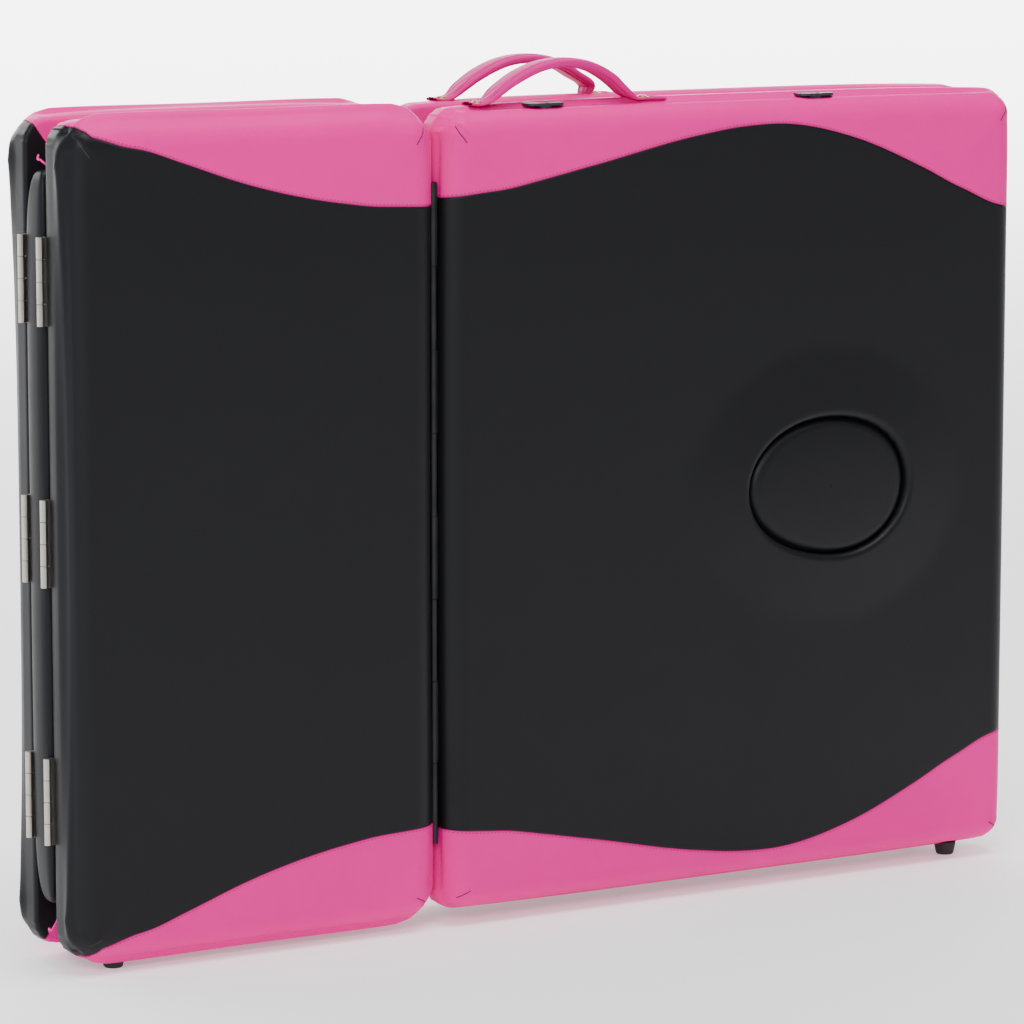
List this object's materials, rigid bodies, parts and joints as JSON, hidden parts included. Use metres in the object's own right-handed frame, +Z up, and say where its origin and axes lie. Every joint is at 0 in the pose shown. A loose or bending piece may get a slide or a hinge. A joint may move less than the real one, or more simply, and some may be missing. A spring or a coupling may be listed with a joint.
{
  "type": "portable massage table",
  "caption": "Folding massage table in four padded sections, folded flat like a case on its side, with telescopic legs stowed inside, strap handles and a plugged face hole.",
  "frame": {"origin": "on the floor under the middle of the folded case's bounding box", "axes": "+X along the case from the spine to the open end, +Y from the near half (the one with the face hole) to the far half, +Z up across the width of the bed"},
  "size_m": [0.9376, 0.132, 0.7308],
  "materials": {
    "black_vinyl": "grained PVC upholstery vinyl, satin black",
    "pink_vinyl": "grained PVC upholstery vinyl, hot pink",
    "plywood": "birch plywood, clear sealed",
    "nickel": "nickel plated pressed steel",
    "aluminium": "satin anodised aluminium",
    "rubber": "moulded black rubber",
    "plastic": "moulded black nylon"
  },
  "bodies": {
    "near_frame": {"near_narrow_cushion": "black_vinyl", "near_narrow_board": "plywood", "near_section_hinge_fixed_leaf": "nickel", "near_rail_lower": "aluminium", "near_rail_upper": "aluminium", "near_foot_inner": "rubber", "near_hinge_lower_board_leaf": "nickel", "near_hinge_middle_board_leaf": "nickel", "near_hinge_upper_board_leaf": "nickel"},
    "near_back_section": {"near_wide_cushion": "black_vinyl", "near_wide_board": "plywood", "near_section_hinge_moving_leaf": "nickel", "near_foot_outer": "rubber", "near_handle": "pink_vinyl", "arm_socket_1": "plastic", "arm_socket_2": "plastic"},
    "face_plug": {"face_plug_cushion": "black_vinyl", "face_plug_board": "plywood"},
    "spine": {"near_hinge_lower_spine_leaf": "nickel", "near_hinge_middle_spine_leaf": "nickel", "near_hinge_upper_spine_leaf": "nickel", "far_hinge_lower_spine_leaf": "nickel", "far_hinge_middle_spine_leaf": "nickel", "far_hinge_upper_spine_leaf": "nickel", "spine_board": "black_vinyl"},
    "far_frame": {"far_narrow_cushion": "black_vinyl", "far_narrow_board": "plywood", "far_section_hinge_fixed_leaf": "nickel", "far_rail_lower": "aluminium", "far_rail_upper": "aluminium", "far_foot_inner": "rubber", "far_hinge_lower_board_leaf": "nickel", "far_hinge_middle_board_leaf": "nickel", "far_hinge_upper_board_leaf": "nickel"},
    "far_leg_section": {"far_wide_cushion": "black_vinyl", "far_wide_board": "plywood", "far_section_hinge_moving_leaf": "nickel", "far_foot_outer": "rubber", "far_handle": "pink_vinyl"},
    "near_legs": {"near_leg_frame": "aluminium"},
    "near_leg_extension_lower": {"near_leg_tube_lower": "aluminium", "near_leg_tip_lower": "rubber"},
    "near_leg_knob_lower": {"near_leg_lock_knob_lower": "plastic"},
    "near_prop_lower": {"near_prop_lower": "aluminium"},
    "near_leg_extension_upper": {"near_leg_tube_upper": "aluminium", "near_leg_tip_upper": "rubber"},
    "near_leg_knob_upper": {"near_leg_lock_knob_upper": "plastic"},
    "near_prop_upper": {"near_prop_upper": "aluminium"},
    "far_legs": {"far_leg_frame": "aluminium"},
    "far_leg_extension_lower": {"far_leg_tube_lower": "aluminium", "far_leg_tip_lower": "rubber"},
    "far_leg_knob_lower": {"far_leg_lock_knob_lower": "plastic"},
    "far_prop_lower": {"far_prop_lower": "aluminium"},
    "far_leg_extension_upper": {"far_leg_tube_upper": "aluminium", "far_leg_tip_upper": "rubber"},
    "far_leg_knob_upper": {"far_leg_lock_knob_upper": "plastic"},
    "far_prop_upper": {"far_prop_upper": "aluminium"}
  },
  "joints": [
    {"name": "spine_fold", "type": "hinge", "parent": "near_frame", "child": "spine", "pos_m": [-0.46565, -0.01765, 0.352], "axis": [0, 0, 1], "range_deg": [0, 90]},
    {"name": "far_half_fold", "type": "hinge", "parent": "spine", "child": "far_frame", "pos_m": [-0.46565, 0.01765, 0.352], "axis": [0, 0, 1], "range_deg": [0, 90]},
    {"name": "near_legs_swing", "type": "hinge", "parent": "near_frame", "child": "near_legs", "pos_m": [0.41885, -0.0097, 0.352], "axis": [0, 0, -1], "range_deg": [0, 90]},
    {"name": "far_legs_swing", "type": "hinge", "parent": "far_frame", "child": "far_legs", "pos_m": [0.41885, 0.0097, 0.352], "axis": [0, 0, 1], "range_deg": [0, 90]},
    {"name": "back_section_tilt", "type": "hinge", "parent": "near_frame", "child": "near_back_section", "pos_m": [-0.12065, -0.046, 0.352], "axis": [0, 0, -1], "range_deg": [0, 65]},
    {"name": "leg_section_tilt", "type": "hinge", "parent": "far_frame", "child": "far_leg_section", "pos_m": [-0.12065, 0.046, 0.352], "axis": [0, 0, 1], "range_deg": [0, 40]},
    {"name": "face_plug_pull", "type": "slide", "parent": "near_back_section", "child": "face_plug", "axis": [0, -1, 0], "range_m": [0, 0.1]},
    {"name": "near_prop_lower_swing", "type": "hinge", "parent": "near_frame", "child": "near_prop_lower", "pos_m": [0.13135, -0.013, 0.09], "axis": [0, 0, -1], "range_deg": [0, 130]},
    {"name": "near_leg_lower_extend", "type": "slide", "parent": "near_legs", "child": "near_leg_extension_lower", "axis": [-1, 0, 0], "range_m": [0, 0.19]},
    {"name": "near_leg_lower_knob_turn", "type": "hinge", "parent": "near_legs", "child": "near_leg_knob_lower", "pos_m": [0.00685, -0.0097, 0.127], "axis": [0, 0, 1], "range_deg": [0, 360]},
    {"name": "near_prop_upper_swing", "type": "hinge", "parent": "near_frame", "child": "near_prop_upper", "pos_m": [0.13135, -0.013, 0.614], "axis": [0, 0, -1], "range_deg": [0, 130]},
    {"name": "near_leg_upper_extend", "type": "slide", "parent": "near_legs", "child": "near_leg_extension_upper", "axis": [-1, 0, 0], "range_m": [0, 0.19]},
    {"name": "near_leg_upper_knob_turn", "type": "hinge", "parent": "near_legs", "child": "near_leg_knob_upper", "pos_m": [0.00685, -0.0097, 0.577], "axis": [0, 0, 1], "range_deg": [0, 360]},
    {"name": "far_prop_lower_swing", "type": "hinge", "parent": "far_frame", "child": "far_prop_lower", "pos_m": [0.13135, 0.013, 0.09], "axis": [0, 0, 1], "range_deg": [0, 80]},
    {"name": "far_leg_lower_extend", "type": "slide", "parent": "far_legs", "child": "far_leg_extension_lower", "axis": [-1, 0, 0], "range_m": [0, 0.19]},
    {"name": "far_leg_lower_knob_turn", "type": "hinge", "parent": "far_legs", "child": "far_leg_knob_lower", "pos_m": [0.00685, 0.0097, 0.162], "axis": [0, 0, 1], "range_deg": [0, 360]},
    {"name": "far_prop_upper_swing", "type": "hinge", "parent": "far_frame", "child": "far_prop_upper", "pos_m": [0.13135, 0.013, 0.614], "axis": [0, 0, 1], "range_deg": [0, 80]},
    {"name": "far_leg_upper_extend", "type": "slide", "parent": "far_legs", "child": "far_leg_extension_upper", "axis": [-1, 0, 0], "range_m": [0, 0.19]},
    {"name": "far_leg_upper_knob_turn", "type": "hinge", "parent": "far_legs", "child": "far_leg_knob_upper", "pos_m": [0.00685, 0.0097, 0.542], "axis": [0, 0, 1], "range_deg": [0, 360]}
  ],
  "couplings": [
    {"joint": "far_half_fold", "follows": "spine_fold", "ratio": 1},
    {"joint": "near_legs_swing", "follows": "spine_fold", "ratio": 1},
    {"joint": "far_legs_swing", "follows": "spine_fold", "ratio": 1},
    {"joint": "near_prop_lower_swing", "follows": "back_section_tilt", "ratio": 2},
    {"joint": "near_prop_upper_swing", "follows": "back_section_tilt", "ratio": 2},
    {"joint": "far_prop_lower_swing", "follows": "leg_section_tilt", "ratio": 2},
    {"joint": "far_prop_upper_swing", "follows": "leg_section_tilt", "ratio": 2}
  ]
}
